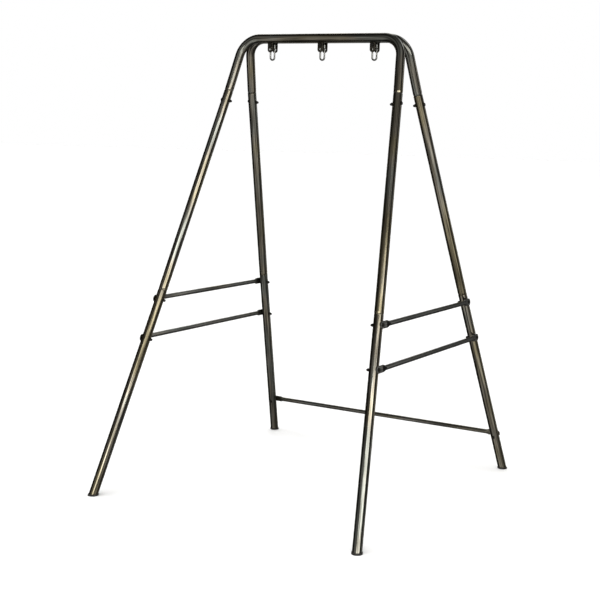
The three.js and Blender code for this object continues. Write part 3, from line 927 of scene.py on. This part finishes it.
def hanger_bolt(place, x):
    centre = Vector((x, 0, HANGER_BOLT_HEIGHT))
    face = TOP_TUBE_HALF_SPACING + EAR_THICKNESS / 2 + GAP
    flats = HEX_ACROSS_FLATS
    reach = flats / math.sqrt(3)
    head_end = face + HANGER_HEAD_HEIGHT
    tail = face + HANGER_NUT_HEIGHT + HANGER_BOLT_TAIL
    bolt = [
        (-head_end, 0.92 * flats / 2, 0),
        (-head_end + 0.0003, 0.97 * flats / 2, 0),
        (-head_end + 0.0013, reach, flats),
        (-face - 0.0005, reach, flats),
        (-face - 0.0002, flats / 2, 0),
        (-face, flats / 2, 0),
        (-face, BOLT_RADIUS, 0),
    ]
    thread = face + 0.0005
    pitch = 0.00125
    while thread < tail - pitch:
        bolt += [
            (thread, BOLT_RADIUS, 0),
            (thread + pitch / 2, BOLT_RADIUS - 0.0005, 0),
        ]
        thread += pitch
    bolt += [(tail - 0.0008, BOLT_RADIUS, 0), (tail, BOLT_RADIUS - 0.0008, 0)]
    mesh = mesh_from_rings("bolt", turned(centre, Y, X, bolt))
    add_piece(
        f"{place}_hanger_bolt_hex", mesh, [dark_fastener],
        f"{place}_pin", [f"{place}_hanger_bolt"],
    )
    bore = BOLT_RADIUS + 1.5 * GAP
    nut_end = face + HANGER_NUT_HEIGHT
    nut = [
        (face, bore + 0.0003, 0),
        (face, flats / 2, 0),
        (face + 0.0011, reach, flats),
        (nut_end - 0.0011, reach, flats),
        (nut_end, 0.96 * flats / 2, 0),
        (nut_end, bore + 0.0003, 0),
        (nut_end - 0.0004, bore, 0),
        (face + 0.0004, bore, 0),
    ]
    mesh = mesh_from_rings("nut", turned(centre, Y, X, nut), joins_itself=True)
    add_piece(
        f"{place}_hanger_nut_hex", mesh, [dark_fastener],
        f"{place}_pin", [f"{place}_hanger_nut"],
    )


def hook_wire(x):
    """The bent wire from its nose over both bends to its shoulder, and on into the flat tongue."""
    stations = []
    radius = HOOK_WIRE_RADIUS
    for step in range(1, 7):
        angle = math.pi / 2 * step / 6
        drop = radius * 0.35 * (1 - math.sin(angle))
        share = 0.62 + 0.38 * math.sin(angle)
        stations.append((HOOK_BEND_RADIUS, HOOK_NOSE + radius * 0.35 - drop, 0.0, share * radius))
    for arc_centre, first in ((HOOK_TOP_ARC, 0.0), (HOOK_BOTTOM_ARC, math.pi)):
        for step in range(HOOK_ARC_STEPS + 1):
            angle = first + math.pi * step / HOOK_ARC_STEPS
            stations.append((
                HOOK_BEND_RADIUS * math.cos(angle),
                arc_centre + HOOK_BEND_RADIUS * math.sin(angle),
                angle,
                radius,
            ))
    stations.append((HOOK_BEND_RADIUS, GATE_SHOULDER - 0.0005, 2 * math.pi, radius))
    stations.append((HOOK_BEND_RADIUS, GATE_SHOULDER, 2 * math.pi, radius - 0.0005))
    rings = []
    for across_x, height, angle, size in stations:
        centre = Vector((x + across_x, 0, HANGER_BOLT_HEIGHT + height))
        across = Vector((math.cos(angle), 0, math.sin(angle)))
        rings.append(ring(centre, across, Y, size, size, WIRE_SIDES))
    tongue = GATE_RADIUS - 0.0004
    profile = [(GATE_SHOULDER, tongue), (GATE_PIVOT, tongue)]
    for step in range(1, 8):
        angle = math.pi / 2 * step / 7.4
        profile.append((GATE_PIVOT + tongue * math.sin(angle), tongue * math.cos(angle)))
    for height, half in profile:
        centre = Vector((x + HOOK_BEND_RADIUS, 0, HANGER_BOLT_HEIGHT + height))
        rings.append(ring(centre, X, Y, half, TONGUE_THICKNESS / 2, WIRE_SIDES, 6))
    return rings


def gate_rings(x):
    """The sprung gate: a round bar with a ball end at its pivot and a chamfered tip."""
    profile = []
    for step in range(1, 9):
        angle = math.pi / 2 * (1 - step / 8.4)
        profile.append((GATE_PIVOT - GATE_RADIUS * math.sin(angle), GATE_RADIUS * math.cos(angle)))
    profile += [
        (GATE_PIVOT, GATE_RADIUS),
        (GATE_TIP - 0.0008, GATE_RADIUS),
        (GATE_TIP - 0.0002, GATE_RADIUS - 0.0004),
        (GATE_TIP, GATE_RADIUS - 0.0009),
    ]
    centre = Vector((x + HOOK_BEND_RADIUS, 0, HANGER_BOLT_HEIGHT))
    return turned(centre, Z, X, [(height, radius, 0) for height, radius in profile], WIRE_SIDES)


def snap_hook(place, x):
    pivot = Vector((x + HOOK_BEND_RADIUS, 0, HANGER_BOLT_HEIGHT + GATE_PIVOT))
    hook, gate = f"{place}_hook", f"{place}_gate"
    mesh = cut(mesh_from_rings("hook", hook_wire(x)), [
        cutter(pivot, Y, GATE_PIN_RADIUS + GAP, THROUGH_SMALL_PARTS),
    ])
    add_piece(f"{place}_snap_hook_wire", mesh, [zinc], hook, [f"{place}_snap_hook"])

    slot_centre = pivot + Z * 0.0002
    mesh = cut(mesh_from_rings("gate", gate_rings(x)), [
        block(slot_centre, (0.008, GATE_SLOT / 2, GATE_RADIUS + 0.001)),
        cutter(pivot, Y, GATE_PIN_RADIUS + GAP, THROUGH_SMALL_PARTS),
    ])
    add_piece(f"{place}_hook_gate_bar", mesh, [zinc], gate, [f"{place}_hook_gate"])

    reach = GATE_RADIUS
    pin = [
        (-reach, 0.5 * GATE_PIN_RADIUS, 0),
        (-reach + 0.0002, 0.85 * GATE_PIN_RADIUS, 0),
        (-reach + 0.0005, GATE_PIN_RADIUS, 0),
        (reach - 0.0005, GATE_PIN_RADIUS, 0),
        (reach - 0.0002, 0.85 * GATE_PIN_RADIUS, 0),
        (reach, 0.5 * GATE_PIN_RADIUS, 0),
    ]
    mesh = mesh_from_rings("pin", turned(pivot, Y, X, pin, WIRE_SIDES))
    add_piece(f"{place}_gate_rivet", mesh, [zinc], hook, [f"{place}_gate_pin"])


# ---- assembly ----
rearward = Vector((0, math.cos(REAR_SLOPE), math.sin(REAR_SLOPE)))
ON_TUBE = TUBE_RADIUS + GAP
ON_TAB = BRACKET_PLANE + TAB_HALF_THICKNESS + GAP

for end in (-1, 1):
    top_tube(end)
for side in (-1, 1):
    for end in (-1, 1):
        upper_leg(side, end)
        lower_leg(side, end)
        foot_cap(side, end)
        leg = f"{end_name(end)}_{side_name(side)}"
        for place, index, height, head_face in (
            ("leg_joint", UPPER, UPPER_JOINT_BOLT_HEIGHT, ON_TUBE),
            ("upper_bar", LOWER, UPPER_SIDE_BAR_HEIGHT, ON_TAB),
            ("lower_bar", LOWER, LOWER_SIDE_BAR_HEIGHT, ON_TAB),
        ):
            centre = leg_point(side, end, index, height)
            leg_bolt(f"{leg}_{place}_bolt", centre, outboard(side), head_face, ON_TUBE)
    for place, height in (("upper", UPPER_SIDE_BAR_HEIGHT), ("lower", LOWER_SIDE_BAR_HEIGHT)):
        point = leg_point(side, 1, LOWER, height)
        middle = Vector((point.x, 0, point.z)) + outboard(side) * BRACKET_PLANE
        crossbar(f"{side_name(side)}_{place}_side_bar", middle, Y, outboard(side), point.y)

rear_point = leg_point(1, 1, LOWER, REAR_BAR_HEIGHT)
rear_middle = Vector((0, rear_point.y, rear_point.z))
crossbar("rear_low_bar", rear_middle + rearward * BRACKET_PLANE, X, rearward, rear_point.x)
for side in (-1, 1):
    centre = rear_middle + X * (side * rear_point.x)
    leg_bolt(f"rear_{side_name(side)}_low_bar_bolt", centre, rearward, ON_TAB, ON_TUBE)

for place in ("left", "middle", "right"):
    low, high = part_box(f"{place}_hanger_bolt")
    hanger_x = (low.x + high.x) / 2
    for end in (-1, 1):
        ear(f"{place}_{end_name(end)}_ear", hanger_x, end)
    hanger_bolt(place, hanger_x)
    snap_hook(place, hanger_x)


# ---- stage: a plain pale floor and soft studio light ----
FLOOR_RADIUS = 60.0
FLOOR_THICKNESS = 0.02
CAMERA_SIDE = Vector((math.sin(CAMERA_YAW), -math.cos(CAMERA_YAW), 0))
# What shiny surfaces see round them: dim cards in front, at the left, and at the right rear and
# straight behind. How much of each card there is, by the bearing in degrees to the right of the
# camera's side
CARDS_AROUND = (
    (-180, (0, 0, 1.1)),
    (-168, (0, 0, 0.9)),
    (-156, (0, 0, 0)),
    (-88, (0, 0, 0)),
    (-70, (0, 0.9, 0)),
    (-50, (0.15, 1, 0)),
    (-32, (1, 0.2, 0)),
    (0, (1, 0, 0)),
    (46, (1, 0, 0)),
    (60, (0.55, 0, 0)),
    (72, (0, 0, 0)),
    (97, (0, 0, 0)),
    (104, (0, 0, 1)),
    (117, (0, 0, 1)),
    (124, (0, 0, 0.35)),
    (156, (0, 0, 0)),
    (168, (0, 0, 0.9)),
    (180, (0, 0, 1.1)),
)
# brightness of each card by the elevation in degrees
CARDS_UP_AND_DOWN = (
    (-90, (0.08, 0.34, 0.04)),
    (-65, (0.10, 0.34, 0.05)),
    (-55, (0.12, 0.32, 0.06)),
    (-50, (0.15, 0.29, 0.08)),
    (-44, (0.30, 0.26, 0.10)),
    (-35, (0.34, 0.24, 0.12)),
    (-29, (0.46, 0.24, 0.15)),
    (-23, (0.62, 0.25, 0.18)),
    (-14, (0.45, 0.26, 0.24)),
    (-4, (0.18, 0.26, 0.30)),
    (8, (0.15, 0.18, 0.34)),
    (20, (0.16, 0.10, 0.38)),
    (45, (0.18, 0.10, 0.42)),
    (60, (0.12, 0.09, 0.38)),
    (72, (0.05, 0.03, 0.10)),
    (90, (0.03, 0.02, 0.05)),
)
WARM_WHITE, COOL_WHITE = (1.0, 0.985, 0.94), (0.97, 0.985, 1.0)
DIM_ROOM = 0.015
SOFTBOX_DISTANCE = 8.0
SOFTBOX_BEARING = math.radians(11)
SOFTBOX_LOW, SOFTBOX_HIGH = math.radians(3), math.radians(30.5)
SOFTBOX_HALF_ANGLE = math.radians(35)
SOFTBOX_BRIGHTNESS = 1.8
BACK_LIGHT_BEARING = math.radians(182)
BACK_LIGHT_LOW, BACK_LIGHT_HIGH = math.radians(6), math.radians(34)
BACK_LIGHT_HALF_ANGLE = math.radians(13)
BACK_LIGHT_BRIGHTNESS = 1.2
RIM_LIGHT_BEARING = math.radians(124)
RIM_LIGHT_LOW, RIM_LIGHT_HIGH = math.radians(36), math.radians(62)
RIM_LIGHT_HALF_ANGLE = math.radians(20)
RIM_LIGHT_BRIGHTNESS = 0.6
SKYLIGHT_STRENGTH = 3.6
SKYLIGHT_SPREAD = math.radians(80)
SKYLIGHT_LEAN = (math.radians(12), math.radians(-8), 0)


def add_floor():
    material, tree = new_material("floor")
    place = add_node(tree, "ShaderNodeTexCoord").outputs["Object"]
    shade = noise(tree, place, (2, 2, 2), detail=2)
    colour = ramp(tree, shade, ((0, (0.87, 0.87, 0.87)), (1, (0.90, 0.90, 0.90))))
    shader = add_node(
        tree, "ShaderNodeBsdfPrincipled", {"Base Color": colour, "Roughness": 0.9}
    )
    finish_material(tree, shader)
    rings = turned(Vector(), Z, X, [(-FLOOR_THICKNESS, FLOOR_RADIUS, 0), (0, FLOOR_RADIUS, 0)], 96)
    mesh = mesh_from_rings("floor", rings)
    mesh.materials.append(material)
    floor = bpy.data.objects.new("floor", mesh)
    bpy.context.scene.collection.objects.link(floor)
    floor.visible_glossy = False
    floor.visible_shadow = False


def add_world():
    world = bpy.data.worlds.new("studio")
    world.use_nodes = True
    tree = world.node_tree
    tree.nodes.clear()
    direction = add_node(tree, "ShaderNodeTexCoord").outputs["Generated"]
    height = add_node(tree, "ShaderNodeSeparateXYZ", {0: direction}).outputs["Z"]
    towards_camera, rightwards = (
        add_node(
            tree, "ShaderNodeVectorMath", {0: direction, 1: axis}, operation="DOT_PRODUCT"
        ).outputs["Value"]
        for axis in (CAMERA_SIDE, Z.cross(CAMERA_SIDE))
    )
    bearing = add_node(
        tree, "ShaderNodeMath", {0: rightwards, 1: towards_camera}, operation="ARCTAN2"
    ).outputs[0]
    cards = ramp(
        tree,
        remap(tree, bearing, -math.pi, math.pi, 0, 1),
        [((degrees + 180) / 360, shares) for degrees, shares in CARDS_AROUND],
    )
    levels = ramp(
        tree,
        remap(tree, height, -1, 1, 0, 1),
        [((math.sin(math.radians(degrees)) + 1) / 2, share) for degrees, share in CARDS_UP_AND_DOWN],
    )
    lit = add_node(
        tree, "ShaderNodeVectorMath", {0: cards, 1: levels}, operation="DOT_PRODUCT"
    ).outputs["Value"]
    strength = add_node(tree, "ShaderNodeMath", {0: lit, 1: DIM_ROOM}, operation="ADD").outputs[0]
    seen_in_metal = add_node(
        tree, "ShaderNodeBackground", {"Color": (*WARM_WHITE, 1), "Strength": strength}
    )
    backdrop = add_node(
        tree, "ShaderNodeBackground", {"Color": (1, 1, 1, 1), "Strength": 1.0}
    )
    direct = add_node(tree, "ShaderNodeLightPath").outputs["Is Camera Ray"]
    mixed = add_node(
        tree, "ShaderNodeMixShader",
        {0: direct, 1: seen_in_metal.outputs[0], 2: backdrop.outputs[0]},
    )
    add_node(tree, "ShaderNodeOutputWorld", {"Surface": mixed.outputs[0]})
    bpy.context.scene.world = world


def add_softbox(name, bearing, low, high, half_angle, brightness, colour):
    """A large soft light that stands round the object at a bearing from the camera's side."""
    low, high = SOFTBOX_DISTANCE * math.tan(low), SOFTBOX_DISTANCE * math.tan(high)
    light = bpy.data.lights.new(name, "AREA")
    light.shape = "RECTANGLE"
    light.size = 2 * SOFTBOX_DISTANCE * math.tan(half_angle)
    light.size_y = high - low
    light.energy = brightness * math.pi * light.size * light.size_y
    light.color = colour
    softbox = bpy.data.objects.new(name, light)
    bpy.context.scene.collection.objects.link(softbox)
    outward = Matrix.Rotation(bearing, 3, "Z") @ CAMERA_SIDE
    softbox.location = outward * SOFTBOX_DISTANCE + Z * (OVERALL_HEIGHT / 2 + (low + high) / 2)
    softbox.rotation_mode = "QUATERNION"
    softbox.rotation_quaternion = (-outward).to_track_quat("-Z", "Y")
    softbox.visible_camera = False


def add_skylight():
    """Broad light from above for the floor and the dull pieces. It isn't mirrored in the tubes."""
    light = bpy.data.lights.new("skylight", "SUN")
    light.energy = SKYLIGHT_STRENGTH
    light.angle = SKYLIGHT_SPREAD
    skylight = bpy.data.objects.new("skylight", light)
    bpy.context.scene.collection.objects.link(skylight)
    skylight.rotation_euler = SKYLIGHT_LEAN
    skylight.visible_glossy = False


add_floor()
add_world()
# the main light runs down the front legs, the rim light along the tops of the side bars, and the
# back light down the rear legs' far sides
add_softbox(
    "softbox", SOFTBOX_BEARING, SOFTBOX_LOW, SOFTBOX_HIGH, SOFTBOX_HALF_ANGLE,
    SOFTBOX_BRIGHTNESS, WARM_WHITE,
)
add_softbox(
    "rim_light", RIM_LIGHT_BEARING, RIM_LIGHT_LOW, RIM_LIGHT_HIGH, RIM_LIGHT_HALF_ANGLE,
    RIM_LIGHT_BRIGHTNESS, COOL_WHITE,
)
add_softbox(
    "back_light", BACK_LIGHT_BEARING, BACK_LIGHT_LOW, BACK_LIGHT_HIGH, BACK_LIGHT_HALF_ANGLE,
    BACK_LIGHT_BRIGHTNESS, WARM_WHITE,
)
add_skylight()
bpy.context.scene.view_settings.view_transform = "Standard"

bpy.context.view_layer.update()
